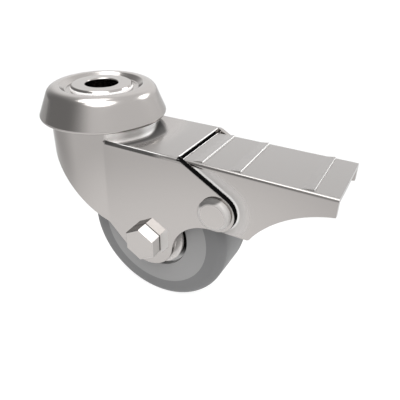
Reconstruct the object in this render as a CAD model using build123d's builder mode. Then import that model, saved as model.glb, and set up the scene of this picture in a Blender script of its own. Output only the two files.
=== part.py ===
from build123d import *
import os
from math import atan2, cos, degrees, radians, sin, sqrt, tan

os.makedirs("parts", exist_ok=True)

# Braked swivel castor with a 50 mm wheel, a bolt hole fitting and a foot brake.
# X runs to the rear, towards the pedal's end, Y runs across and Z runs up.
# The origin is the centre of the bolt hole, level with the face that meets the furniture.

# Main sizes
wheel_d = 50.0
wheel_width = 18.8
wheel_headroom = 4.0
swivel_lead = 24.4
bolt_hole_d = 10.5

# Fork, pressed from one sheet
fork_sheet = 1.8
wheel_side_gap = 2.5
neck_r = 16.9
neck_top_z = -6.8
plate_z = -12.4
plate_rear_x = 35.6
neck_fillet = 1.2
bend_r = 1.0
plate_edge_r = 0.4
leg_r = 9.4
cut_angle = 45.0
end_angle = 60.0
rear_edge_z = -32.2
rear_fillet = 13.5
pivot_behind_axle = 23.5
pivot_z = -26.2
fork_end_r = 6.0

# Swivel head
cap_sheet = 1.5
cap_rim_r = 20.64
cap_rim_z = -9.7
collar_r = 9.9
groove_floor_width = 1.7
groove_run = 1.7
crown_width = 3.32
crown_round = 3.5
groove_floor_z = -1.5
kingpin_r = 7.1
swivel_gap = 0.35
neck_rim_r = 2.5
track_r = 11.0
upper_ball_d = 4.5
upper_ball_count = 14
lower_track_r = 10.8
lower_ball_d = 3.5
lower_ball_count = 14
ball_gap = 0.04
groove_depth = 0.5
lower_race_r = 13.4
lower_race_height = 2.2
peen_r = 9.2
peen_height = 1.6

# Axle
axle_d = 6.0
head_across_flats = 10.0
head_height = 4.0
nut_height = 5.9
insert_height = 1.7
bolt_past_nut = 1.2
insert_wall = 0.6
insert_seat = 0.6
thread_gap = 0.03
hole_gap = 0.2

# Wheel
tyre_wall = 5.9
tread_shoulder = 2.7
key_height = 1.8
key_width = 7.0
hub_recess_r = 12.3
hub_recess_depth = 1.4
guard_r = 10.9
guard_sheet = 0.9
guard_stand = 0.35
guard_seat_r = 5.4
guard_flat_r = 8.7
bearing_r = 9.5
bearing_width = 6.0
bearing_ball_d = 3.5
bearing_ball_count = 7
bearing_pitch_r = 6.25
race_gap = 0.05
inner_ring_r = 4.8
outer_ring_bore_r = 7.7
shield_sheet = 0.4
shield_inset = 0.5
hub_lip = 1.3
collar_tube_r = 4.4

# Pedal and brake
pedal_sheet = 1.5
side_gap = 0.35
deck_z = -13.45
deck_front_gap = 0.3
deck_front_r = 0.6
pedal_rear_x = 78.8
ear_r = 7.0
ear_edge_top_z = -15.2
ear_edge_r = 31.9
flange_depth = 5.1
toe_x = 57.4
toe_r = 1.2
tread_lines_x = (42.2, 53.4, 72.7)
tread_length = 3.0
tread_height = 0.5
pin_d = 5.0
pin_gap = 0.08
pin_head_r = 4.9
pin_head_height = 1.8
pin_head_round = 1.1
shoe_sheet = 1.6
shoe_width = 17.0
shoe_rear_x = 62.0
shoe_back_x = 53.4
shoe_nose_z = -30.6
nose_gap = 0.9

# Sizes that follow from the ones above
tyre_r = wheel_d / 2
core_r = tyre_r - tyre_wall
key_r = core_r + key_height
axle_x = swivel_lead
axle_z = plate_z - fork_sheet - wheel_headroom - tyre_r
pivot_x = axle_x + pivot_behind_axle
fork_width = wheel_width + 2 * wheel_side_gap + 2 * fork_sheet
half_fork = fork_width / 2
half_inside = half_fork - fork_sheet
half_pedal = half_inside - side_gap
half_ear_inside = half_pedal - pedal_sheet
half_wheel = wheel_width / 2
bore_r = bolt_hole_d / 2
neck_inside_r = neck_r - fork_sheet
groove_floor_r = collar_r + groove_floor_width
crown_inner_r = groove_floor_r + groove_run
crown_outer_r = crown_inner_r + crown_width
cap_under_z = groove_floor_z - cap_sheet
flank_slope = (cap_rim_r - crown_outer_r) / -cap_rim_z
flank_wall = cap_sheet * sqrt(1 + flank_slope**2)
groove_slope = groove_run / -groove_floor_z
groove_wall = cap_sheet * sqrt(1 + groove_slope**2)
crown_under_r = crown_outer_r + flank_slope * cap_sheet - flank_wall
crown_hollow_r = crown_inner_r - groove_slope * cap_sheet + groove_wall
sunk_edge_r = crown_inner_r + groove_slope * cap_under_z + groove_wall
neck_under_z = neck_top_z - fork_sheet
upper_ball_z = (cap_under_z + neck_top_z) / 2
lower_ball_z = neck_under_z + groove_depth - lower_ball_d / 2 - ball_gap
lower_race_top_z = lower_ball_z - lower_ball_d / 2 - ball_gap + groove_depth
lower_race_bottom_z = lower_race_top_z - lower_race_height
kingpin_bottom_z = lower_race_bottom_z - peen_height
axle_r = axle_d / 2
hub_face_y = half_wheel - hub_recess_depth
bearing_inner_y = hub_face_y - bearing_width
guard_back_y = half_inside - guard_sheet
guard_rim_y = half_wheel + guard_stand
front_x = -neck_r - 3
deck_front_x = plate_rear_x + deck_front_gap
fork_length = pivot_x + fork_end_r + 2
front_cut_z = axle_z - leg_r - 5
insert_r = head_across_flats / 2 - insert_wall
hub_bore_r = bearing_r - hub_lip
shoe_top_z = deck_z - pedal_sheet - shoe_sheet / 2
nose_reach = tyre_r + nose_gap + shoe_sheet / 2
shoe_nose_x = axle_x + sqrt(nose_reach**2 - (shoe_nose_z - axle_z) ** 2)


def corner(sketch, x, y):
    """The sketch's corner nearest to this point on its own plane."""
    return sketch.vertices().sort_by_distance((x, y, 0))[0]


def across(y):
    """Side plane at this distance from the middle. Its normal points to the near side."""
    return Plane.XZ.offset(-y)


def polar(x, z, r, angle):
    """Point at this radius and angle, in degrees, from a centre on the side plane."""
    return (x + r * cos(radians(angle)), z + r * sin(radians(angle)))


def ring(r, inner_r):
    """Flat ring about the middle of the plane in use."""
    Circle(r)
    Circle(inner_r, mode=Mode.SUBTRACT)


def fork_outline():
    """The fork's side outline: sloping front, leg round the axle and round end at the pedal pivot."""
    fillet_z = rear_edge_z - rear_fillet
    fillet_x = axle_x + sqrt((leg_r + rear_fillet) ** 2 - (axle_z - fillet_z) ** 2)
    fillet_angle = degrees(atan2(fillet_z - axle_z, fillet_x - axle_x))
    leg_front = polar(axle_x, axle_z, leg_r, 180 + cut_angle)
    leg_rear = polar(axle_x, axle_z, leg_r, fillet_angle)
    front = (front_x, leg_front[1] + (leg_front[0] - front_x) / tan(radians(cut_angle)))
    end_top = polar(pivot_x, pivot_z, fork_end_r, end_angle)
    diagonal_z = end_top[1] + (end_top[0] - plate_rear_x) / tan(radians(end_angle))
    fillet_mid = polar(fillet_x, fillet_z, rear_fillet, (90 + 180 + fillet_angle) / 2)
    end_mid = polar(pivot_x, pivot_z, fork_end_r, (end_angle - 90) / 2)
    with BuildSketch() as outline:
        with BuildLine():
            Line((fillet_x, rear_edge_z), (pivot_x, pivot_z - fork_end_r))
            ThreePointArc((pivot_x, pivot_z - fork_end_r), end_mid, end_top)
            Polyline(end_top, (plate_rear_x, diagonal_z), (plate_rear_x, 0), (front_x, 0), front, leg_front)
            ThreePointArc(leg_front, (axle_x, axle_z - leg_r), leg_rear)
            ThreePointArc(leg_rear, fillet_mid, (fillet_x, rear_edge_z))
        make_face()
    return outline.sketch


def pedal_outline():
    """The pedal's side outline: flat deck, curved lower edge, low toe and round ear at the pivot."""
    flange_end = (pedal_rear_x, deck_z - flange_depth)
    toe = (toe_x, pivot_z - ear_r)
    toe_top = (toe_x + toe_r, toe[1] + 1.6 * toe_r)
    ear_front = polar(pivot_x, pivot_z, ear_r, 180)
    ear_mid = polar(pivot_x, pivot_z, ear_r, 225)
    with BuildSketch() as outline:
        with BuildLine():
            Polyline((pivot_x, toe[1]), toe, toe_top)
            RadiusArc(toe_top, flange_end, ear_edge_r)
            Polyline(flange_end, (pedal_rear_x, deck_z), (deck_front_x, deck_z), (deck_front_x, ear_edge_top_z))
            Line((deck_front_x, ear_edge_top_z), ear_front)
            ThreePointArc(ear_front, ear_mid, (pivot_x, toe[1]))
        make_face()
        fillet(corner(outline, toe_x, toe[1]), radius=toe_r)
    return outline.sketch


# Cap of the swivel head, pressed with a raised crown round a sunk middle
with BuildPart() as head_cap:
    with BuildSketch(Plane.XZ) as cap_section:
        with BuildLine():
            Polyline(
                (kingpin_r, groove_floor_z),
                (groove_floor_r, groove_floor_z),
                (crown_inner_r, 0),
                (crown_outer_r, 0),
                (cap_rim_r, cap_rim_z),
                (cap_rim_r - flank_wall, cap_rim_z),
                (crown_under_r, -cap_sheet),
                (crown_hollow_r, -cap_sheet),
                (sunk_edge_r, cap_under_z),
                (kingpin_r, cap_under_z),
                (kingpin_r, groove_floor_z),
            )
        make_face()
        fillet(corner(cap_section, crown_inner_r, 0), radius=0.7)
        fillet(corner(cap_section, groove_floor_r, groove_floor_z), radius=0.6)
        fillet(corner(cap_section, crown_outer_r, 0), radius=crown_round)
        fillet(corner(cap_section, crown_under_r, -cap_sheet), radius=crown_round / 2)
        fillet(corner(cap_section, cap_rim_r, cap_rim_z), radius=cap_sheet / 2)
    revolve(axis=Axis.Z)
    with BuildSketch(Plane.XZ):
        with Locations((track_r, upper_ball_z)):
            Circle(upper_ball_d / 2 + ball_gap)
    revolve(axis=Axis.Z, mode=Mode.SUBTRACT)
head_cap.part.label = "head_cap"
export_step(head_cap.part, "parts/head_cap.step")

# Hollow kingpin with its turned collar, peened over below the lower race
with BuildPart() as kingpin:
    with BuildSketch(Plane.XZ) as pin_section:
        with BuildLine():
            Polyline(
                (bore_r, 0),
                (collar_r - 0.6, 0),
                (collar_r, -0.9),
                (collar_r, groove_floor_z),
                (kingpin_r, groove_floor_z),
                (kingpin_r, lower_race_bottom_z),
                (peen_r, lower_race_bottom_z),
                (peen_r, kingpin_bottom_z),
                (bore_r, kingpin_bottom_z),
                (bore_r, 0),
            )
        make_face()
        fillet(corner(pin_section, collar_r - 0.6, 0), radius=0.45)
        fillet(corner(pin_section, collar_r, -0.9), radius=0.6)
        fillet(corner(pin_section, bore_r, 0), radius=0.4)
        fillet(corner(pin_section, peen_r, kingpin_bottom_z), radius=1.2)
    revolve(axis=Axis.Z)
kingpin.part.label = "kingpin"
export_step(kingpin.part, "parts/kingpin.step")

# Lower race, a turned ring with a groove for the small balls
with BuildPart() as lower_race:
    with BuildSketch(Plane.XY.offset(lower_race_top_z)):
        ring(lower_race_r, kingpin_r)
    extrude(amount=-lower_race_height)
    with BuildSketch(Plane.XZ):
        with Locations((lower_track_r, lower_ball_z)):
            Circle(lower_ball_d / 2 + ball_gap)
    revolve(axis=Axis.Z, mode=Mode.SUBTRACT)
    chamfer(lower_race.edges().filter_by(GeomType.CIRCLE).group_by(SortBy.RADIUS)[-1], length=0.4)
lower_race.part.label = "lower_race"
export_step(lower_race.part, "parts/lower_race.step")

# Upper ring of balls
with BuildPart() as upper_balls:
    with Locations(Plane.XY.offset(upper_ball_z)):
        with PolarLocations(track_r, upper_ball_count):
            Sphere(upper_ball_d / 2)
upper_balls.part.label = "upper_balls"
export_step(upper_balls.part, "parts/upper_balls.step")

# Lower ring of balls
with BuildPart() as lower_balls:
    with Locations(Plane.XY.offset(lower_ball_z)):
        with PolarLocations(lower_track_r, lower_ball_count):
            Sphere(lower_ball_d / 2)
lower_balls.part.label = "lower_balls"
export_step(lower_balls.part, "parts/lower_balls.step")

# Fork: a round neck over a keyhole channel, cut to its side outline and open below
with BuildPart() as fork:
    with BuildSketch(Plane.XY.offset(neck_top_z)):
        Circle(neck_r)
    extrude(amount=front_cut_z - neck_top_z)
    with BuildSketch(Plane.XY.offset(plate_z)):
        with Locations((fork_length / 2, 0)):
            Rectangle(fork_length, fork_width)
    extrude(amount=front_cut_z - plate_z)
    plate_level = fork.edges().filter_by_position(Axis.Z, plate_z - 0.01, plate_z + 0.01)
    fillet(plate_level.filter_by(Axis.X), radius=bend_r)
    plate_level = fork.edges().filter_by_position(Axis.Z, plate_z - 0.01, plate_z + 0.01)
    fillet(plate_level.filter_by(GeomType.CIRCLE), radius=neck_fillet)
    fillet(fork.edges().filter_by(GeomType.CIRCLE).sort_by(Axis.Z)[-1], radius=neck_rim_r)
    # Inside of the pressing
    with BuildSketch(Plane.XY.offset(neck_under_z)):
        Circle(neck_inside_r)
    extrude(amount=front_cut_z - neck_under_z, mode=Mode.SUBTRACT)
    with BuildSketch(Plane.XY.offset(plate_z - fork_sheet)):
        with Locations((fork_length / 2, 0)):
            Rectangle(fork_length + 2, 2 * half_inside)
    extrude(amount=front_cut_z - plate_z, mode=Mode.SUBTRACT)
    with BuildSketch(Plane.XZ):
        add(fork_outline())
    extrude(amount=neck_r + 1, both=True, mode=Mode.INTERSECT)
    # The top plate ends square, ahead of the pedal's deck
    with BuildSketch(Plane.XY.offset(plate_z)):
        with Locations((plate_rear_x, 0)):
            Rectangle(fork_length, 2 * half_inside, align=(Align.MIN, Align.CENTER))
    extrude(amount=-2 * fork_sheet, mode=Mode.SUBTRACT)
    plate_rim = fork.edges().filter_by(Axis.Y).filter_by_position(Axis.Z, plate_z - 0.01, plate_z + 0.01)
    fillet(plate_rim.sort_by(Axis.X)[-1], radius=plate_edge_r)
    # Raceways above and below, the kingpin's hole, and the holes in both sides
    with BuildSketch(Plane.XZ):
        with Locations((track_r, upper_ball_z)):
            Circle(upper_ball_d / 2 + ball_gap)
        with Locations((lower_track_r, lower_ball_z)):
            Circle(lower_ball_d / 2 + ball_gap)
    revolve(axis=Axis.Z, mode=Mode.SUBTRACT)
    with BuildSketch(Plane.XY.offset(neck_top_z)):
        Circle(kingpin_r + swivel_gap)
    extrude(amount=-2 * fork_sheet, mode=Mode.SUBTRACT)
    with BuildSketch(Plane.XZ):
        with Locations((axle_x, axle_z)):
            Circle(axle_r + hole_gap)
        with Locations((pivot_x, pivot_z)):
            Circle(pin_d / 2)
    extrude(amount=neck_r, both=True, mode=Mode.SUBTRACT)
fork.part.label = "fork"
export_step(fork.part, "parts/fork.step")

# Axle bolt, its hexagon head against the near leg
with BuildPart() as axle_bolt:
    with BuildSketch(across(-half_fork)):
        with Locations((axle_x, axle_z)):
            RegularPolygon(head_across_flats / 2, 6, major_radius=False, rotation=30)
    extrude(amount=head_height)
    chamfer(axle_bolt.edges().filter_by(Axis.Y, reverse=True).group_by(Axis.Y)[0], length=0.25)
    with BuildSketch(across(-half_fork)):
        with Locations((axle_x, axle_z)):
            Circle(axle_r)
    extrude(amount=-(fork_width + nut_height + insert_height + bolt_past_nut))
    chamfer(axle_bolt.edges().filter_by(GeomType.CIRCLE).sort_by(Axis.Y)[-1], length=0.5)
axle_bolt.part.label = "axle_bolt"
export_step(axle_bolt.part, "parts/axle_bolt.step")

# Lock nut on the far leg, with a collar rolled over its insert
with BuildPart() as axle_nut:
    with BuildSketch(across(half_fork)):
        with Locations((axle_x, axle_z)):
            RegularPolygon(head_across_flats / 2, 6, major_radius=False, rotation=30)
    extrude(amount=-nut_height)
    with BuildSketch(across(half_fork + nut_height)):
        with Locations((axle_x, axle_z)):
            Circle(insert_r + insert_wall)
    extrude(amount=-insert_height)
    fillet(axle_nut.edges().filter_by(GeomType.CIRCLE).sort_by(Axis.Y)[-1], radius=0.5)
    with BuildSketch(across(half_fork + nut_height - insert_seat)):
        with Locations((axle_x, axle_z)):
            Circle(insert_r)
    extrude(amount=-insert_height - insert_seat, mode=Mode.SUBTRACT)
    with BuildSketch(across(half_fork)):
        with Locations((axle_x, axle_z)):
            Circle(axle_r + thread_gap)
    extrude(amount=-nut_height, mode=Mode.SUBTRACT)
axle_nut.part.label = "axle_nut"
export_step(axle_nut.part, "parts/axle_nut.step")

# Locking insert of the nut
with BuildPart() as nut_insert:
    with BuildSketch(across(half_fork + nut_height - insert_seat)):
        with Locations((axle_x, axle_z)):
            ring(insert_r, axle_r + thread_gap)
    extrude(amount=-(insert_height + insert_seat - insert_wall))
nut_insert.part.label = "nut_insert"
export_step(nut_insert.part, "parts/nut_insert.step")

# Dished thread guards, held between the legs and the spacers, one each side
guard_names = ("thread_guard_near", "thread_guard_far")
for guard_name, side in zip(guard_names, (-1, 1)):
    with BuildPart() as thread_guard:
        with BuildSketch(Plane.XY) as guard_section:
            with BuildLine():
                Polyline(
                    (axle_x + axle_r + hole_gap, side * half_inside),
                    (axle_x + guard_seat_r, side * half_inside),
                    (axle_x + guard_flat_r, side * guard_rim_y),
                    (axle_x + guard_r, side * guard_rim_y),
                    (axle_x + guard_r, side * (guard_rim_y - guard_sheet)),
                    (axle_x + guard_flat_r - 0.4, side * (guard_rim_y - guard_sheet)),
                    (axle_x + guard_seat_r - 0.4, side * guard_back_y),
                    (axle_x + axle_r + hole_gap, side * guard_back_y),
                    close=True,
                )
            make_face()
        revolve(axis=Axis((axle_x, 0, 0), (0, 1, 0)))
    thread_guard.part.position = (0, 0, axle_z)
    thread_guard.part.label = guard_name
    export_step(thread_guard.part, "parts/" + guard_name + ".step")

# Spacer tubes on the bolt: one between the bearings and one outside each of them
with BuildPart() as axle_spacers:
    for start, end in (
        (-guard_back_y, -hub_face_y),
        (-bearing_inner_y, bearing_inner_y),
        (hub_face_y, guard_back_y),
    ):
        with BuildSketch(across(start)):
            with Locations((axle_x, axle_z)):
                ring(collar_tube_r, axle_r + thread_gap)
        extrude(amount=start - end)
axle_spacers.part.label = "axle_spacers"
export_step(axle_spacers.part, "parts/axle_spacers.step")

# Ball bearings in the hub, one each side: inner rings on the bolt, outer rings in the hub
bearing_middles = (-hub_face_y + bearing_width / 2, hub_face_y - bearing_width / 2)
with BuildPart() as bearing_inner_rings:
    for middle in bearing_middles:
        with BuildSketch(across(middle - bearing_width / 2)):
            with Locations((axle_x, axle_z)):
                ring(inner_ring_r, axle_r + thread_gap)
        extrude(amount=-bearing_width)
        with Locations((axle_x, middle, axle_z)):
            Torus(bearing_pitch_r, bearing_ball_d / 2 + race_gap, rotation=(90, 0, 0), mode=Mode.SUBTRACT)
bearing_inner_rings.part.label = "bearing_inner_rings"
export_step(bearing_inner_rings.part, "parts/bearing_inner_rings.step")

with BuildPart() as bearing_outer_rings:
    for middle in bearing_middles:
        with BuildSketch(across(middle - bearing_width / 2)):
            with Locations((axle_x, axle_z)):
                ring(bearing_r, outer_ring_bore_r)
        extrude(amount=-bearing_width)
        with Locations((axle_x, middle, axle_z)):
            Torus(bearing_pitch_r, bearing_ball_d / 2 + race_gap, rotation=(90, 0, 0), mode=Mode.SUBTRACT)
bearing_outer_rings.part.label = "bearing_outer_rings"
export_step(bearing_outer_rings.part, "parts/bearing_outer_rings.step")

with BuildPart() as bearing_balls:
    for middle in bearing_middles:
        with Locations(Plane.XZ.offset(-middle)):
            with Locations((axle_x, axle_z)):
                with PolarLocations(bearing_pitch_r, bearing_ball_count):
                    Sphere(bearing_ball_d / 2)
bearing_balls.part.label = "bearing_balls"
export_step(bearing_balls.part, "parts/bearing_balls.step")

# Shields that close the outer face of each bearing
with BuildPart() as bearing_shields:
    for side in (-1, 1):
        with BuildSketch(across(side * (hub_face_y - shield_inset))):
            with Locations((axle_x, axle_z)):
                ring(outer_ring_bore_r, inner_ring_r + swivel_gap)
        extrude(amount=side * shield_sheet)
bearing_shields.part.label = "bearing_shields"
export_step(bearing_shields.part, "parts/bearing_shields.step")

# Wheel centre: a moulded disc with a recess each side, a through bore and a rib that keys the tyre
with BuildPart() as wheel_core:
    with BuildSketch(across(0)):
        with Locations((axle_x, axle_z)):
            Circle(core_r)
    extrude(amount=half_wheel, both=True)
    with BuildSketch(across(0)):
        with Locations((axle_x, axle_z)):
            Circle(key_r)
    extrude(amount=key_width / 2, both=True)
    for side in (-1, 1):
        with BuildSketch(across(side * half_wheel)):
            with Locations((axle_x, axle_z)):
                Circle(hub_recess_r)
        extrude(amount=side * hub_recess_depth, mode=Mode.SUBTRACT)
        with BuildSketch(across(side * hub_face_y)):
            with Locations((axle_x, axle_z)):
                Circle(bearing_r)
        extrude(amount=side * bearing_width, mode=Mode.SUBTRACT)
    with BuildSketch(across(0)):
        with Locations((axle_x, axle_z)):
            Circle(hub_bore_r)
    extrude(amount=half_wheel, both=True, mode=Mode.SUBTRACT)
wheel_core.part.label = "wheel_core"
export_step(wheel_core.part, "parts/wheel_core.step")

# Tyre moulded round the wheel centre
with BuildPart() as tyre:
    with BuildSketch(across(0)):
        with Locations((axle_x, axle_z)):
            Circle(tyre_r)
    extrude(amount=half_wheel, both=True)
    fillet(tyre.edges().filter_by(GeomType.CIRCLE), radius=tread_shoulder)
    with BuildSketch(across(0)):
        with Locations((axle_x, axle_z)):
            Circle(core_r)
    extrude(amount=half_wheel, both=True, mode=Mode.SUBTRACT)
    with BuildSketch(across(0)):
        with Locations((axle_x, axle_z)):
            Circle(key_r)
    extrude(amount=key_width / 2, both=True, mode=Mode.SUBTRACT)
tyre.part.label = "tyre"
export_step(tyre.part, "parts/tyre.step")

# Pedal: a channel with a ribbed deck, its ears inside the fork's sides
with BuildPart() as pedal:
    with BuildSketch(Plane.XZ):
        add(pedal_outline())
    extrude(amount=half_pedal, both=True)
    fillet(pedal.edges().filter_by(Axis.X).group_by(Axis.Z)[-1], radius=bend_r)
    fillet(pedal.edges().filter_by(Axis.Y).group_by(Axis.X)[0].sort_by(Axis.Z)[-1], radius=deck_front_r)
    with BuildSketch(Plane.YZ.offset(deck_front_x - 1)):
        with Locations((0, deck_z - pedal_sheet)):
            Rectangle(2 * half_ear_inside, deck_z - pivot_z + 2 * ear_r, align=(Align.CENTER, Align.MAX))
    extrude(amount=pedal_rear_x - deck_front_x + 2, mode=Mode.SUBTRACT)
    # Pressed treads, each rising to the rear
    for line_x in tread_lines_x:
        for drop, mode in ((0, Mode.ADD), (pedal_sheet, Mode.SUBTRACT)):
            with BuildSketch(Plane.XZ):
                with BuildLine():
                    Polyline(
                        (line_x - tread_length, deck_z - drop),
                        (line_x, deck_z - drop),
                        (line_x, deck_z - drop + tread_height),
                        close=True,
                    )
                make_face()
            extrude(amount=half_pedal - bend_r, both=True, mode=mode)
    with BuildSketch(Plane.XZ):
        with Locations((pivot_x, pivot_z)):
            Circle(pin_d / 2 + pin_gap)
    extrude(amount=neck_r, both=True, mode=Mode.SUBTRACT)
pedal.part.label = "pedal"
export_step(pedal.part, "parts/pedal.step")

# Pedal pivot pin, a rivet with a round head each side
with BuildPart() as pivot_pin:
    with BuildSketch(Plane.XZ):
        with Locations((pivot_x, pivot_z)):
            Circle(pin_d / 2)
    extrude(amount=half_fork, both=True)
    for side in (-1, 1):
        with BuildSketch(across(side * half_fork)):
            with Locations((pivot_x, pivot_z)):
                Circle(pin_head_r)
        extrude(amount=-side * pin_head_height)
    head_edges = pivot_pin.edges().filter_by(GeomType.CIRCLE)
    fillet([head_edges.sort_by(Axis.Y)[0], head_edges.sort_by(Axis.Y)[-1]], radius=pin_head_round)
pivot_pin.part.label = "pivot_pin"
export_step(pivot_pin.part, "parts/pivot_pin.step")

# Brake plate, a bent spring strip spot-welded under the deck, its nose behind the wheel
with BuildPart() as brake_plate:
    with BuildSketch(Plane.XZ):
        with BuildLine() as plate_line:
            FilletPolyline(
                (shoe_rear_x, shoe_top_z),
                (shoe_back_x, shoe_top_z),
                (shoe_back_x, shoe_nose_z),
                (shoe_nose_x, shoe_nose_z),
                radius=2 * shoe_sheet,
            )
            offset(amount=shoe_sheet / 2, side=Side.BOTH)
        make_face()
    extrude(amount=shoe_width / 2, both=True)
brake_plate.part.label = "brake_plate"
export_step(brake_plate.part, "parts/brake_plate.step")
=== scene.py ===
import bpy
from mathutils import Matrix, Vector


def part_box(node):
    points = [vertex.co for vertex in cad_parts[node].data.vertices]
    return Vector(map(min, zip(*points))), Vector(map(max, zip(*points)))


bl_info = {
    "name": "Braked Swivel Castor",
    "version": (1, 0, 0),
    "blender": (4, 5, 0),
    "location": "3D View > Sidebar > Castor",
    "description": "Finishes, studio and camera for a braked swivel castor",
    "category": "Object",
}

from math import cos, radians, sin

import bmesh
import bpy
from bpy.props import FloatProperty, FloatVectorProperty, PointerProperty
from bpy.types import Operator, Panel, PropertyGroup
from mathutils import Matrix, Vector

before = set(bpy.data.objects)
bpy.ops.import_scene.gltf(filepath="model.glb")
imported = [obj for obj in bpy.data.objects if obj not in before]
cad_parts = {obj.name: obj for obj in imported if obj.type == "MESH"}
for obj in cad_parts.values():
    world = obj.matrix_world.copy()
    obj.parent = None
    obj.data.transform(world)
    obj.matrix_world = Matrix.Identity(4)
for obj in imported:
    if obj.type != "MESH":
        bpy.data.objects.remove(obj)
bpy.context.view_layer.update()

MM = 0.001
FLOOR_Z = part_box("tyre")[0][2]

# Sizes of the CAD model that the finishes follow, in millimetres and degrees
AXLE = (24.4, -43.2)
PIVOT = (47.9, -26.2)
HALF_FORK = 13.7
HALF_INSIDE = 11.9
PLATE_TOP = -12.4
PLATE_REAR = 35.6
DECK_FRONT = 35.9
DECK_TOP = -13.45
HALF_HEAD = 5.0
FLAT_ANGLE = 60.0
STRIP_ANGLE = 60.0
STRIP_R = 6.0
RECESS_R = 12.3
# Each tread's rear face, and the strength of the painted highlight on it
TREADS = ((42.2, 1.0), (53.4, 1.0), (72.7, 0.8))


class CastorFinishes(PropertyGroup):
    zinc_colour: FloatVectorProperty(
        name="Zinc",
        description="Colour of the plated sheet steel",
        subtype="COLOR",
        size=3,
        min=0.0,
        max=1.0,
        default=(0.39, 0.371, 0.358),
    )
    zinc_roughness: FloatProperty(
        name="Zinc roughness",
        description="How much the plated sheet blurs what it reflects",
        subtype="FACTOR",
        min=0.0,
        max=1.0,
        default=0.05,
    )
    cap_roughness: FloatProperty(
        name="Cap roughness",
        description="How much the swivel head's cap blurs what it reflects",
        subtype="FACTOR",
        min=0.0,
        max=1.0,
        default=0.17,
    )
    # Satin grey for dull places. Lighter and darker copies of it are also painted as light and shade on the
    # neck, the top faces and the rivet's rim, and it is painted as light on the bolt's rear flat.
    satin_and_painted_light_colour: FloatVectorProperty(
        name="Satin",
        description="Colour where the plating is rubbed dull",
        subtype="COLOR",
        size=3,
        min=0.0,
        max=1.0,
        default=(0.42, 0.405, 0.395),
    )
    # Painted shade: the top faces are painted this darker share of the satin grey.
    top_shade_share: FloatProperty(
        name="Top faces",
        description="How light the dull top faces are, as a share of the satin colour",
        subtype="FACTOR",
        min=0.0,
        max=1.0,
        default=0.33,
    )
    # Painted shade: the fork's sheared faces and the gap round the wheel's thread guard are painted this
    # near-black for the shadow in those gaps.
    shadow_gap_colour: FloatVectorProperty(
        name="Cut edge",
        description="Colour of the fork's sheared edges",
        subtype="COLOR",
        size=3,
        min=0.0,
        max=1.0,
        default=(0.003, 0.003, 0.003),
    )
    # Painted shade: the dark lines at the neck's foot, under the folds and under the bolt's head are painted
    # in this colour.
    shade_line_colour: FloatVectorProperty(
        name="Crease",
        description="Colour of the dark lines at the neck's foot, under the folds and under the bolt's head",
        subtype="COLOR",
        size=3,
        min=0.0,
        max=1.0,
        default=(0.018, 0.018, 0.018),
    )
    bolt_colour: FloatVectorProperty(
        name="Bolts",
        description="Colour of the axle bolt, its nut and the pivot rivet",
        subtype="COLOR",
        size=3,
        min=0.0,
        max=1.0,
        default=(0.41, 0.39, 0.376),
    )
    # Painted highlight: this colour is painted on the top plate's rear rim, the folds, the neck, the deck's
    # edges and treads, the bolt's upper flat and the collar's foot.
    highlight_colour: FloatVectorProperty(
        name="Bare edge",
        description="Colour of the sheet's bright rubbed edges",
        subtype="COLOR",
        size=3,
        min=0.0,
        max=1.0,
        default=(0.92, 0.91, 0.9),
    )
    core_colour: FloatVectorProperty(
        name="Wheel centre",
        description="Colour of the moulded wheel centre",
        subtype="COLOR",
        size=3,
        min=0.0,
        max=1.0,
        default=(0.205, 0.203, 0.202),
    )
    tyre_colour: FloatVectorProperty(
        name="Tyre",
        description="Colour of the rubber tyre",
        subtype="COLOR",
        size=3,
        min=0.0,
        max=1.0,
        default=(0.117, 0.117, 0.118),
    )


class CastorStudio(PropertyGroup):
    camera_azimuth: FloatProperty(
        name="Camera azimuth",
        description="Angle of the camera round the castor, from the near side towards the pedal",
        subtype="ANGLE",
        default=radians(30.203),
    )
    camera_elevation: FloatProperty(
        name="Camera elevation",
        description="Angle that the camera looks down by",
        subtype="ANGLE",
        default=radians(29.602),
    )
    camera_place: FloatVectorProperty(
        name="Camera place",
        description="Where the camera stands",
        subtype="TRANSLATION",
        unit="LENGTH",
        size=3,
        default=(0.09111, -0.10495, 0.03926),
    )
    camera_shift: FloatVectorProperty(
        name="Camera shift",
        description="How far the picture lies beside the lens's axis, as a share of its width",
        size=2,
        default=(0.0414, -0.0309),
    )
    lens: FloatProperty(
        name="Lens",
        description="Focal length in millimetres for a sensor 36 mm wide",
        default=39.28,
    )
    floor_glow: FloatProperty(
        name="Floor glow",
        description="Light given off by the floor",
        min=0.0,
        default=0.43,
    )
    front_glow: FloatProperty(
        name="Front glow",
        description="Extra light given off by the floor before the castor",
        min=0.0,
        default=0.38,
    )
    floor_shade: FloatProperty(
        name="Floor shade",
        description="How much the floor darkens towards the studio's dark side",
        subtype="FACTOR",
        min=0.0,
        max=1.0,
        default=0.3,
    )
    back_level: FloatProperty(
        name="Back wall",
        description="Extra brightness of the wall behind the castor",
        min=0.0,
        default=0.4,
    )
    room_level: FloatProperty(
        name="Room",
        description="Brightness of the studio's walls",
        min=0.0,
        default=1.08,
    )
    dark_level: FloatProperty(
        name="Dark side",
        description="Brightness of the studio's dark side",
        min=0.0,
        default=0.3,
    )
    light_level: FloatProperty(
        name="Main light",
        description="Brightness of the main soft light",
        min=0.0,
        default=5.0,
    )


def shaded(colour, share):
    """A colour made lighter or darker."""
    return tuple(share * part for part in colour)


def direction(azimuth, elevation):
    """Unit vector to a place in the room: azimuth from the near side towards the pedal, elevation up."""
    return sin(azimuth) * cos(elevation), -cos(azimuth) * cos(elevation), sin(elevation)


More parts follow.
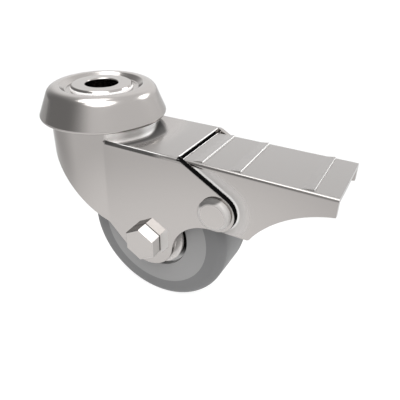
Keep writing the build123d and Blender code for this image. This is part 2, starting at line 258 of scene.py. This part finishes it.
class NodeTree:
    """Short names for building a material's or the world's node tree."""

    def __init__(self, owner):
        owner.use_nodes = True
        self.nodes = owner.node_tree.nodes
        self.links = owner.node_tree.links

    def feed(self, socket, value):
        """Give a socket a number, a colour, a direction or another node's result."""
        if isinstance(value, bpy.types.NodeSocket):
            self.links.new(value, socket)
        elif socket.type == "RGBA":
            socket.default_value = (*value, 1.0)
        else:
            socket.default_value = value

    def math(self, operation, first, second=0.0):
        """Result of a sum with one or two numbers."""
        node = self.nodes.new("ShaderNodeMath")
        node.operation = operation
        self.feed(node.inputs[0], first)
        self.feed(node.inputs[1], second)
        return node.outputs[0]

    def vector(self, operation, first, second, result):
        """One of the results of a sum with two vectors."""
        node = self.nodes.new("ShaderNodeVectorMath")
        node.operation = operation
        self.feed(node.inputs[0], first)
        self.feed(node.inputs[1], second)
        return node.outputs[result]

    def rise(self, value, start, end, high=1.0, low=0.0):
        """Smooth step up from low to high as the value goes from start to end."""
        node = self.nodes.new("ShaderNodeMapRange")
        node.interpolation_type = "SMOOTHSTEP"
        for name, number in (
            ("Value", value),
            ("From Min", start),
            ("From Max", end),
            ("To Min", low),
            ("To Max", high),
        ):
            self.feed(node.inputs[name], number)
        return node.outputs["Result"]

    def fall(self, value, start, end, high=1.0, low=0.0):
        """Smooth step down from high to low as the value goes from start to end."""
        return self.rise(value, start, end, low, high)

    def every(self, *masks):
        """The product of masks: 1 only where all of them are."""
        result = masks[0]
        for mask in masks[1:]:
            result = self.math("MULTIPLY", result, mask)
        return result

    def either(self, *masks):
        """The greatest of masks: 1 where any of them is."""
        result = masks[0]
        for mask in masks[1:]:
            result = self.math("MAXIMUM", result, mask)
        return result

    def without(self, mask):
        """1 where the mask is 0."""
        return self.math("SUBTRACT", 1.0, mask)

    def length(self, *sides):
        """The root of the sum of squares."""
        total = self.math("MULTIPLY", sides[0], sides[0])
        for side in sides[1:]:
            total = self.math("ADD", total, self.math("MULTIPLY", side, side))
        return self.math("SQRT", total)

    def blend(self, mask, below, above):
        """Number that goes from one to another as the mask goes from 0 to 1."""
        node = self.nodes.new("ShaderNodeMix")
        self.feed(node.inputs[0], mask)
        self.feed(node.inputs[2], below)
        self.feed(node.inputs[3], above)
        return node.outputs[0]

    def tint(self, mask, below, above):
        """Colour that goes from one to another as the mask goes from 0 to 1."""
        node = self.nodes.new("ShaderNodeMix")
        node.data_type = "RGBA"
        self.feed(node.inputs[0], mask)
        self.feed(node.inputs[6], below)
        self.feed(node.inputs[7], above)
        return node.outputs[2]

    def patch(self, heading, azimuth, elevation, inner, outer, within, beyond):
        """Level of a round soft-edged patch of the room, with its angles in degrees from its middle."""
        middle = direction(radians(azimuth), radians(elevation))
        nearness = self.vector("DOT_PRODUCT", heading, middle, "Value")
        return self.rise(nearness, cos(radians(outer)), cos(radians(inner)), within, beyond)


class Surface(NodeTree):
    """A material with one principled shader."""

    def __init__(self, name, colour, metallic, roughness):
        self.material = bpy.data.materials.new(name)
        super().__init__(self.material)
        self.shader = self.nodes["Principled BSDF"]
        self.set("Base Color", colour)
        self.set("Metallic", metallic)
        self.set("Roughness", roughness)

    def set(self, name, value):
        """Give one of the shader's inputs a value."""
        self.feed(self.shader.inputs[name], value)

    def place(self):
        """The surface's own object coordinates, in metres."""
        return self.nodes.new("ShaderNodeTexCoord").outputs["Object"]

    def axes(self):
        """The same coordinates one by one, in millimetres: along, across and up."""
        split = self.nodes.new("ShaderNodeSeparateXYZ")
        self.feed(split.inputs["Vector"], self.vector("DIVIDE", self.place(), (MM, MM, MM), "Vector"))
        return split.outputs["X"], split.outputs["Y"], split.outputs["Z"]

    def noise(self, scale, detail):
        """Cloudy noise from 0 to 1."""
        node = self.nodes.new("ShaderNodeTexNoise")
        self.feed(node.inputs["Scale"], scale)
        self.feed(node.inputs["Detail"], detail)
        self.feed(node.inputs["Vector"], self.place())
        return node.outputs["Fac"]

    def grain(self, scale, strength):
        """Fine relief all over."""
        bump = self.nodes.new("ShaderNodeBump")
        self.feed(bump.inputs["Strength"], strength)
        self.feed(bump.inputs["Distance"], 0.05 * MM)
        self.feed(bump.inputs["Height"], self.noise(scale, 2.0))
        self.set("Normal", bump.outputs["Normal"])

    def from_axis(self, along, up, axis):
        """How far a point lies behind an axis that runs across the castor, and how far above it."""
        return self.math("SUBTRACT", along, axis[0]), self.math("SUBTRACT", up, axis[1])

    def towards(self, behind, above, angle):
        """How far a point lies in a direction, given in degrees above the rear."""
        lean = radians(angle)
        level = self.math("MULTIPLY", behind, cos(lean))
        return self.math("ADD", level, self.math("MULTIPLY", above, sin(lean)))

    def dress(self, *names):
        """Give CAD nodes this finish."""
        for name in names:
            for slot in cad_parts[name].material_slots:
                slot.material = self.material


class Plate(Surface):
    """Plated steel, with masks for dull places, painted shade and painted highlights."""

    EDGE_TINT = 0.75
    CLOUD_SCALE = 90.0
    CLOUD_DETAIL = 3.0
    SMOOTHEST = 0.85
    ROUGHEST = 1.2

    def __init__(self, name, colour, roughness):
        super().__init__(name, colour, 1.0, roughness)
        self.set("Specular Tint", (self.EDGE_TINT, self.EDGE_TINT, self.EDGE_TINT))
        cloud = self.noise(self.CLOUD_SCALE, self.CLOUD_DETAIL)
        self.gloss = self.rise(cloud, 0.3, 0.7, self.ROUGHEST * roughness, self.SMOOTHEST * roughness)
        self.set("Roughness", self.gloss)
        self.colour = colour
        self.metal = 1.0
        self.shine = 1.0

    def paint(self, mask, colour, shine=0.0, roughness=0.5):
        """Put a plain unplated look over the mask. A roughness of None keeps the plating's own."""
        self.colour = self.tint(mask, self.colour, colour)
        self.metal = self.every(self.metal, self.without(mask))
        self.shine = self.blend(mask, self.shine, shine)
        if roughness is not None:
            self.gloss = self.blend(mask, self.gloss, roughness)
        self.set("Base Color", self.colour)
        self.set("Metallic", self.metal)
        self.set("Specular IOR Level", self.shine)
        self.set("Roughness", self.gloss)


class ForkPlate(Plate):
    """The fork's plating. Each pair is where a mask starts and ends, in millimetres."""

    TOP_FACE = (PLATE_TOP - 0.3, PLATE_TOP - 0.1)
    DULL_TOP = (22.0, 30.0)
    TURN_REACH = 17.0
    TURN_RATE = 1.4
    BEHIND_NECK = (10.0, 12.0)
    BEND = (0.5, 7.5)
    BEND_BY = 3.2
    PALE_TURN = (-11.0, -7.0)
    PALE_SHARE = 2.2
    LIT_SATIN_SHARE = 1.4
    LIT_NECK_END = (19.5, 21.5)
    HIGHLIGHT_TURN = (-4.0, 0.5)
    HIGHLIGHT_END = (19.3, 21.0)
    FOOT_START = (20.2, 21.8)
    FOOT_END = (22.4, 25.5)
    FOOT_TURN = (9.0, 12.5)
    SIDE_LIMIT = HALF_FORK + 0.1
    FOLD_SIDE = (HALF_FORK - 0.55, HALF_FORK - 0.4)
    FOLD_TOP = (PLATE_TOP - 0.32, PLATE_TOP - 0.17)
    FOLD_START = (14.5, 17.5)
    FOLD_END = (28.0, 34.0)
    FOLD_SHADE_UNDER = (PLATE_TOP - 1.35, PLATE_TOP - 1.15)
    FOLD_SHADE_START = (10.4, 11.2)
    FOLD_SHADE_END = (27.0, 33.0)
    DULL_SLOPE = 1.3
    DULL_UPPER = (2.7, 2.9)
    DULL_LOWER = (-4.4, -4.0)
    DULL_START = (0.25, 0.4)
    DULL_END = (3.0, 3.4)
    CUT_OUTSIDE = (HALF_FORK - 0.1, HALF_FORK - 0.04)
    CUT_INSIDE = (HALF_INSIDE + 0.02, HALF_INSIDE + 0.08)
    CUT_BEHIND = PLATE_REAR - 0.02
    CUT_BETWEEN = HALF_INSIDE - 0.05
    CUT_LOWEST = (-30.0, -28.5)
    FAR_CORNER = (10.5, -14.6)
    RIM_START = (PLATE_REAR - 0.24, PLATE_REAR - 0.14)
    RIM_TOP = (PLATE_TOP - 0.36, PLATE_TOP - 0.26)

    def __init__(self, finishes):
        super().__init__("fork_zinc", finishes.zinc_colour, finishes.zinc_roughness)
        self.along, self.across, self.up = self.axes()
        self.side = self.math("ABSOLUTE", self.across)
        self.reach = self.length(self.along, self.across)
        # Painted shade: the top plate away from the neck is painted a darker copy of the satin grey.
        dull = self.every(self.rise(self.up, *self.TOP_FACE, high=0.7), self.rise(self.reach, *self.DULL_TOP))
        self.paint(dull, shaded(finishes.satin_and_painted_light_colour, finishes.top_shade_share), shine=0.5, roughness=0.25)
        self.paint_neck_light_and_shade(finishes)
        # Painted shade: the sheared faces are painted near-black for the shadowed gap behind them.
        self.paint(self.cut_edges(), finishes.shadow_gap_colour)
        # Painted highlight on the top plate's rounded rear rim.
        self.paint(self.plate_rim(), finishes.highlight_colour)
        self.paint_fold_highlight_and_shade(finishes)
        self.paint(self.beside_bolt(), finishes.satin_and_painted_light_colour)

    def paint_neck_light_and_shade(self, finishes):
        """Painted light on the neck behind the head: lighter copies of the satin grey, a painted highlight on
        it, and a painted shade ring round its foot.
        """
        outward = self.math("MULTIPLY", self.math("SUBTRACT", self.reach, self.TURN_REACH), self.TURN_RATE)
        turn = self.math("ADD", self.across, outward)
        behind = self.every(self.rise(self.up, *self.TOP_FACE), self.rise(self.along, *self.BEHIND_NECK))
        bent = self.math("ADD", self.reach, self.rise(turn, *self.BEND, high=self.BEND_BY))
        pale = shaded(finishes.satin_and_painted_light_colour, self.PALE_SHARE)
        satin = shaded(finishes.satin_and_painted_light_colour, self.LIT_SATIN_SHARE)
        lit_tone = self.tint(self.rise(turn, *self.PALE_TURN), pale, satin)
        self.paint(self.every(behind, self.fall(bent, *self.LIT_NECK_END, high=0.95)), lit_tone, shine=0.5)
        bright = self.every(self.rise(turn, *self.HIGHLIGHT_TURN), self.fall(bent, *self.HIGHLIGHT_END))
        self.paint(self.every(behind, bright), finishes.highlight_colour, shine=0.5)
        foot = self.every(self.rise(bent, *self.FOOT_START), self.fall(self.reach, *self.FOOT_END, high=0.9))
        foot = self.every(behind, foot, self.fall(turn, *self.FOOT_TURN, low=0.12))
        self.paint(foot, finishes.shade_line_colour)

    def cut_edges(self):
        """1 on the sheared faces behind the top plate, between the outer and inner surface of the sides, which
        are painted near-black as painted shade for the gap.
        """
        within = self.every(self.fall(self.side, *self.CUT_OUTSIDE), self.rise(self.side, *self.CUT_INSIDE))
        far = self.math("GREATER_THAN", self.across, self.FAR_CORNER[0])
        far_corner = self.every(far, self.math("GREATER_THAN", self.up, self.FAR_CORNER[1]))
        behind = self.math("GREATER_THAN", self.along, self.CUT_BEHIND)
        behind = self.every(behind, self.without(far_corner))
        between = self.math("LESS_THAN", self.side, self.CUT_BETWEEN)
        sides = self.every(within, behind, self.rise(self.up, *self.CUT_LOWEST))
        return self.either(sides, self.every(behind, between))

    def plate_rim(self):
        """1 on the rounded rear edge of the top plate, which gets a painted highlight."""
        between = self.math("LESS_THAN", self.side, HALF_INSIDE)
        start = self.rise(self.along, *self.RIM_START, high=0.85)
        return self.every(start, self.rise(self.up, *self.RIM_TOP), between)

    def paint_fold_highlight_and_shade(self, finishes):
        """Painted highlight along the fold between the top plate and each side, with a painted shade line
        below it.
        """
        sheet = self.math("LESS_THAN", self.side, self.SIDE_LIMIT)
        fold = self.every(sheet, self.rise(self.side, *self.FOLD_SIDE))
        fold_shade = self.every(self.rise(self.up, *self.FOLD_SHADE_UNDER), self.rise(self.along, *self.FOLD_SHADE_START))
        fold_shade = self.every(fold, fold_shade, self.fall(self.along, *self.FOLD_SHADE_END, high=0.9, low=0.2))
        self.paint(fold_shade, finishes.shade_line_colour)
        end = self.fall(self.along, *self.FOLD_END, low=0.2)
        light = self.every(self.rise(self.along, *self.FOLD_START), end)
        self.paint(self.every(fold, self.rise(self.up, *self.FOLD_TOP, high=0.9), light), finishes.highlight_colour)

    def beside_bolt(self):
        """1 on the near side behind the bolt's head, which is painted the satin grey."""
        behind, above = self.from_axis(self.along, self.up, (AXLE[0] + HALF_HEAD, AXLE[1]))
        sloped = self.math("SUBTRACT", above, self.math("MULTIPLY", behind, self.DULL_SLOPE))
        height = self.every(self.fall(sloped, *self.DULL_UPPER), self.rise(sloped, *self.DULL_LOWER))
        width = self.every(self.rise(behind, *self.DULL_START), self.fall(behind, *self.DULL_END, high=0.95))
        return self.every(height, width, self.math("LESS_THAN", self.across, 0.0))


class PedalPlate(Plate):
    """The pedal's plating. Each pair is where a mask starts and ends, in millimetres."""

    SIDES = (DECK_TOP - 1.6, DECK_TOP - 1.0)
    BAND = (STRIP_R + 1.0, STRIP_R + 4.5)
    LINE = (STRIP_R + 0.2, STRIP_R + 0.7)
    TOP_FACE = (DECK_TOP - 0.3, DECK_TOP - 0.1)
    FRONT_EDGE = (DECK_FRONT + 0.45, DECK_FRONT + 0.6)
    FRONT_DEPTH = (DECK_TOP - 1.2, DECK_TOP - 1.05)
    TREAD_HEIGHT = (DECK_TOP + 0.02, DECK_TOP + 0.06)
    TREAD_DEPTH = 0.05

    def __init__(self, finishes):
        super().__init__("pedal_zinc", finishes.zinc_colour, finishes.zinc_roughness)
        self.along, self.across, self.up = self.axes()
        distance = self.from_fork_strip()
        sides = self.fall(self.up, *self.SIDES)
        band = self.every(sides, self.fall(distance, *self.BAND))
        self.paint(band, finishes.satin_and_painted_light_colour, roughness=None)
        # Painted highlight along the pedal's side next to the fork's sloping strip.
        line = self.every(sides, self.fall(distance, *self.LINE, high=0.7))
        self.paint(line, finishes.highlight_colour, roughness=None)
        # Painted shade: the deck's top face is painted a darker copy of the satin grey.
        top = self.rise(self.up, *self.TOP_FACE, high=0.7)
        self.paint(top, shaded(finishes.satin_and_painted_light_colour, finishes.top_shade_share), shine=0.5, roughness=0.25)
        self.paint(self.deck_edges(), finishes.highlight_colour)

    def from_fork_strip(self):
        """Distance from the middle line of the fork's sloping strip, whose edge lies STRIP_R away from it."""
        behind, above = self.from_axis(self.along, self.up, PIVOT)
        past = self.math("MAXIMUM", self.towards(behind, above, STRIP_ANGLE - 90.0), 0.0)
        return self.length(self.towards(behind, above, STRIP_ANGLE), past)

    def deck_edges(self):
        """1 on the deck's rounded front edge and on the rear faces of its treads, which get a painted
        highlight.
        """
        masks = [self.every(self.fall(self.along, *self.FRONT_EDGE), self.rise(self.up, *self.FRONT_DEPTH))]
        for line, strength in TREADS:
            beside = self.math("ABSOLUTE", self.math("SUBTRACT", self.along, line))
            face = self.math("LESS_THAN", beside, self.TREAD_DEPTH)
            masks.append(self.every(face, self.rise(self.up, *self.TREAD_HEIGHT, high=strength)))
        return self.either(*masks)


class BoltPlate(Plate):
    """The axle bolt's and nut's plating. Each pair is where a mask starts and ends, in millimetres."""

    FLAT = (HALF_HEAD - 0.1, HALF_HEAD - 0.03)
    CONTACT = (HALF_FORK + 0.16, HALF_FORK + 0.22)

    def __init__(self, finishes):
        super().__init__("bolt_zinc", finishes.bolt_colour, 1.3 * finishes.zinc_roughness)
        along, across, up = self.axes()
        behind, above = self.from_axis(along, up, AXLE)
        # Painted light and shade: the rear flat is painted satin grey to lighten it, the upper flat gets a
        # painted highlight, and the bolt's foot against the fork gets a painted shade line.
        self.paint(self.rise(behind, *self.FLAT, high=0.75), finishes.satin_and_painted_light_colour)
        upper = self.towards(behind, above, FLAT_ANGLE)
        self.paint(self.rise(upper, *self.FLAT, high=0.6), finishes.highlight_colour)
        self.paint(self.fall(self.math("ABSOLUTE", across), *self.CONTACT), finishes.shade_line_colour)


class RivetPlate(Plate):
    """The pivot rivet's plating. Each pair is where a mask starts and ends, in millimetres."""

    ROUNDING = (3.4, 4.2)
    LIGHT_ANGLE = 70.0
    LOWER = (-1.0, 1.5)
    UPPER_SHARE = 0.9
    SHADE_ANGLE = 116.6
    SHADE = (2.95, 3.67)
    SHADE_SHARE = 0.14

    def __init__(self, finishes):
        super().__init__("rivet_zinc", finishes.bolt_colour, 1.3 * finishes.zinc_roughness)
        along, _, up = self.axes()
        behind, above = self.from_axis(along, up, PIVOT)
        # Painted light and shade on the rim: a copy of the satin grey above in place of its highlight, a dark
        # painted shade crescent towards the upper front, and plain satin grey below.
        rim = self.rise(self.length(behind, above), *self.ROUNDING)
        lit = self.towards(behind, above, self.LIGHT_ANGLE)
        upper = self.rise(lit, *self.LOWER, high=0.9)
        self.paint(self.every(rim, upper), shaded(finishes.satin_and_painted_light_colour, self.UPPER_SHARE))
        shade = self.rise(self.towards(behind, above, self.SHADE_ANGLE), *self.SHADE, high=0.85)
        self.paint(self.every(rim, shade), shaded(finishes.satin_and_painted_light_colour, self.SHADE_SHARE))
        self.paint(self.every(rim, self.fall(lit, *self.LOWER)), finishes.satin_and_painted_light_colour)


class CASTOR_OT_sheet_steel(Operator):
    """Finish the pressed cap, fork and pedal, with painted shade on the sheared edges and painted highlights
    on the rounded edges and folds
    """

    bl_idname = "castor.sheet_steel"
    bl_label = "Sheet steel"

    CAP_SHARE = 1.05

    def execute(self, context):
        finishes = context.scene.castor_finishes
        cap = Plate("cap_zinc", shaded(finishes.zinc_colour, self.CAP_SHARE), finishes.cap_roughness)
        cap.dress("head_cap")
        ForkPlate(finishes).dress("fork")
        PedalPlate(finishes).dress("pedal")
        return {"FINISHED"}


class CASTOR_OT_fasteners(Operator):
    """Finish the kingpin, axle bolt, nut, rivet, guards, brake plate and races"""

    bl_idname = "castor.fasteners"
    bl_label = "Fasteners"

    COLLAR_FOOT = (-0.8, -0.55)
    COLLAR_OUTSIDE = (8.2, 8.6)
    GUARD_SHARE = 1.2
    GUARD_DULL = 0.6
    STRIP_SHARE = 0.6

    def execute(self, context):
        finishes = context.scene.castor_finishes
        self.finish_collar(finishes)
        BoltPlate(finishes).dress("axle_bolt", "axle_nut")
        RivetPlate(finishes).dress("pivot_pin")
        guard = Plate("guard_steel", shaded(finishes.bolt_colour, self.GUARD_SHARE), 0.25)
        guard.paint(self.GUARD_DULL, shaded(finishes.satin_and_painted_light_colour, self.GUARD_SHARE), shine=0.5, roughness=0.3)
        guard.dress("thread_guard_near", "thread_guard_far", "axle_spacers", "bearing_shields")
        strip = Plate("strip_steel", shaded(finishes.bolt_colour, self.STRIP_SHARE), 0.2)
        strip.dress("brake_plate")
        ground = Surface("ground_steel", (0.6, 0.6, 0.6), 1.0, 0.1)
        ground.dress("lower_race", "upper_balls", "lower_balls")
        ground.dress("bearing_inner_rings", "bearing_outer_rings", "bearing_balls")
        insert = Surface("insert_plastic", (0.7, 0.7, 0.66), 0.0, 0.45)
        insert.dress("nut_insert")
        return {"FINISHED"}

    def finish_collar(self, finishes):
        """Plated kingpin with a painted highlight round its collar's foot."""
        collar = Plate("collar_zinc", finishes.bolt_colour, 1.5 * finishes.zinc_roughness)
        along, across, up = collar.axes()
        outside = collar.rise(collar.length(along, across), *self.COLLAR_OUTSIDE)
        foot = collar.fall(up, *self.COLLAR_FOOT, high=0.9)
        collar.paint(collar.every(foot, outside), finishes.highlight_colour)
        collar.dress("kingpin")


class CASTOR_OT_wheel(Operator):
    """Finish the wheel's moulded centre and its rubber tyre"""

    bl_idname = "castor.wheel"
    bl_label = "Wheel"

    RECESS_EDGE = (RECESS_R - 0.45, RECESS_R - 0.35)
    RECESS_FADE = (-8.0, -2.5)
    FLOOR_EDGE = (RECESS_R - 0.2, RECESS_R - 0.1)
    FLOOR_FADE = (-8.0, -5.0)
    FLOOR_SHARE = 2.5
    TREAD_FADE = (3.0, 7.0)
    TREAD_SHARE = 1.25

    def execute(self, context):
        finishes = context.scene.castor_finishes
        self.finish_centre(finishes)
        self.finish_tyre(finishes)
        return {"FINISHED"}

    def finish_centre(self, finishes):
        """Moulded plastic, with painted shade in the gap round the thread guard that fades downwards, and a
        lighter copy of its colour painted as light on the recess floor below.
        """
        colour = finishes.core_colour
        core = Surface("core_plastic", colour, 0.0, 0.42)
        along, _, up = core.axes()
        behind, above = core.from_axis(along, up, AXLE)
        reach = core.length(behind, above)
        gap = core.every(core.fall(reach, *self.RECESS_EDGE), core.rise(above, *self.RECESS_FADE))
        lower = core.every(core.fall(reach, *self.FLOOR_EDGE), core.fall(above, *self.FLOOR_FADE))
        plastic = core.tint(lower, colour, shaded(colour, self.FLOOR_SHARE))
        core.set("Base Color", core.tint(gap, plastic, finishes.shadow_gap_colour))
        core.set("Specular IOR Level", core.fall(gap, 0.0, 1.0, high=0.5))
        core.grain(2500.0, 0.15)
        core.dress("wheel_core")

    def finish_tyre(self, finishes):
        """Smooth rubber, with painted light making the middle of the tread lighter."""
        colour = finishes.tyre_colour
        tyre = Surface("tyre_rubber", colour, 0.0, 0.5)
        _, across, _ = tyre.axes()
        tread = tyre.fall(tyre.math("ABSOLUTE", across), *self.TREAD_FADE)
        tyre.set("Base Color", tyre.tint(tread, colour, shaded(colour, self.TREAD_SHARE)))
        tyre.grain(3000.0, 0.2)
        tyre.dress("tyre")


class CASTOR_OT_stage(Operator):
    """Set the floor, the soft lights and the camera"""

    bl_idname = "castor.stage"
    bl_label = "Stage"

    FLOOR_SIZE = 12.0
    FLOOR_COLOUR = (0.3, 0.3, 0.3)
    GLOW_MIDDLE = (0.02, -0.03, FLOOR_Z)
    GLOW_REACH = (0.02, 0.11)
    SHADE_PATCH = (270.0, 0.0, 20.0, 64.0)
    SHADE_SIDE = (-0.639, -0.769, 0.0)
    SHADE_START = (0.05, 0.12)
    # Azimuth, elevation, inner and outer angle of each soft patch
    DARK_PATCH = (302.0, 12.0, 26.0, 74.0)
    BACK_PATCH = (205.0, 18.0, 20.0, 50.0)
    # The same for each light, with its share of the main light's level
    LIGHTS = (
        ((32.0, 57.0, 8.0, 28.0), 1.2),
        ((320.0, 75.0, 8.0, 18.0), 1.0),
        ((250.0, 76.0, 6.0, 15.0), 1.0),
        ((143.0, 28.0, 3.0, 15.0), 1.2),
    )
    SENSOR_WIDTH = 36.0
    CLIP_START = 5.0 * MM

    def execute(self, context):
        scene = context.scene
        studio = scene.castor_studio
        self.lay_floor(scene, studio)
        self.light_room(scene, studio)
        self.set_camera(scene, studio)
        scene.view_settings.view_transform = "Standard"
        return {"FINISHED"}

    def lay_floor(self, scene, studio):
        """Pale floor that glows most before the castor and darkens on one side, out of the camera's view."""
        mesh = bpy.data.meshes.new("floor")
        shape = bmesh.new()
        level = Matrix.Translation((0, 0, FLOOR_Z))
        bmesh.ops.create_grid(shape, x_segments=1, y_segments=1, size=self.FLOOR_SIZE, matrix=level)
        shape.to_mesh(mesh)
        shape.free()
        floor = bpy.data.objects.new("floor", mesh)
        scene.collection.objects.link(floor)
        pale = Surface("floor_white", self.FLOOR_COLOUR, 0.0, 0.9)
        pale.set("Specular IOR Level", 0.0)
        pale.set("Emission Color", (1.0, 1.0, 1.0))
        spread = pale.vector("DISTANCE", pale.place(), self.GLOW_MIDDLE, "Value")
        low = studio.floor_glow
        glow = pale.fall(spread, *self.GLOW_REACH, low + studio.front_glow, low)
        away = pale.vector("SUBTRACT", pale.place(), (0.0, 0.0, FLOOR_Z), "Vector")
        heading = pale.vector("NORMALIZE", away, (0.0, 0.0, 0.0), "Vector")
        shade = pale.patch(heading, *self.SHADE_PATCH, 1.0, 0.0)
        aside = pale.rise(pale.vector("DOT_PRODUCT", away, self.SHADE_SIDE, "Value"), *self.SHADE_START)
        dim = pale.every(shade, aside, studio.floor_shade)
        pale.set("Emission Strength", pale.every(glow, pale.without(dim)))
        pale.set("Base Color", pale.tint(dim, self.FLOOR_COLOUR, (0.0, 0.0, 0.0)))
        mesh.materials.append(pale.material)

    def light_room(self, scene, studio):
        """Bright room with a dark side and soft lights, for the plated steel to reflect."""
        world = bpy.data.worlds.new("studio")
        room = NodeTree(world)
        way = room.nodes.new("ShaderNodeTexCoord").outputs["Generated"]
        walls = room.patch(way, *self.DARK_PATCH, studio.dark_level, studio.room_level)
        lights = [room.patch(way, *patch, share * studio.light_level, 0.0) for patch, share in self.LIGHTS]
        behind = room.patch(way, *self.BACK_PATCH, studio.back_level, 0.0)
        background = room.nodes["Background"]
        room.feed(background.inputs["Color"], (1.0, 1.0, 1.0))
        room.feed(background.inputs["Strength"], room.math("ADD", walls, room.either(behind, *lights)))
        scene.world = world

    def set_camera(self, scene, studio):
        """Camera at the photograph's place and angle."""
        camera_data = bpy.data.cameras.new("camera")
        camera_data.lens = studio.lens
        camera_data.sensor_width = self.SENSOR_WIDTH
        camera_data.shift_x, camera_data.shift_y = studio.camera_shift
        camera_data.clip_start = self.CLIP_START
        camera = bpy.data.objects.new("camera", camera_data)
        scene.collection.objects.link(camera)
        back = Vector(direction(studio.camera_azimuth, studio.camera_elevation))
        camera.location = studio.camera_place
        camera.rotation_euler = (-back).to_track_quat("-Z", "Y").to_euler()
        scene.camera = camera


OPERATORS = (CASTOR_OT_sheet_steel, CASTOR_OT_fasteners, CASTOR_OT_wheel, CASTOR_OT_stage)


class CASTOR_PT_panel(Panel):
    """The castor's steps, finishes and studio"""

    bl_label = "Castor"
    bl_idname = "CASTOR_PT_panel"
    bl_space_type = "VIEW_3D"
    bl_region_type = "UI"
    bl_category = "Castor"

    def draw(self, context):
        layout = self.layout
        for settings in (context.scene.castor_finishes, context.scene.castor_studio):
            box = layout.box()
            for name in settings.__annotations__:
                box.prop(settings, name)
        for operator in OPERATORS:
            layout.operator(operator.bl_idname)


CLASSES = (CastorFinishes, CastorStudio, *OPERATORS, CASTOR_PT_panel)


def register():
    """Add the classes, and the settings to the scene."""
    for each in CLASSES:
        bpy.utils.register_class(each)
    bpy.types.Scene.castor_finishes = PointerProperty(type=CastorFinishes)
    bpy.types.Scene.castor_studio = PointerProperty(type=CastorStudio)


def unregister():
    """Take away what register added."""
    del bpy.types.Scene.castor_studio
    del bpy.types.Scene.castor_finishes
    for each in reversed(CLASSES):
        bpy.utils.unregister_class(each)


def main():
    """Build every step in order."""
    register()
    bpy.ops.castor.sheet_steel()
    bpy.ops.castor.fasteners()
    bpy.ops.castor.wheel()
    bpy.ops.castor.stage()


if __name__ == "__main__":
    main()
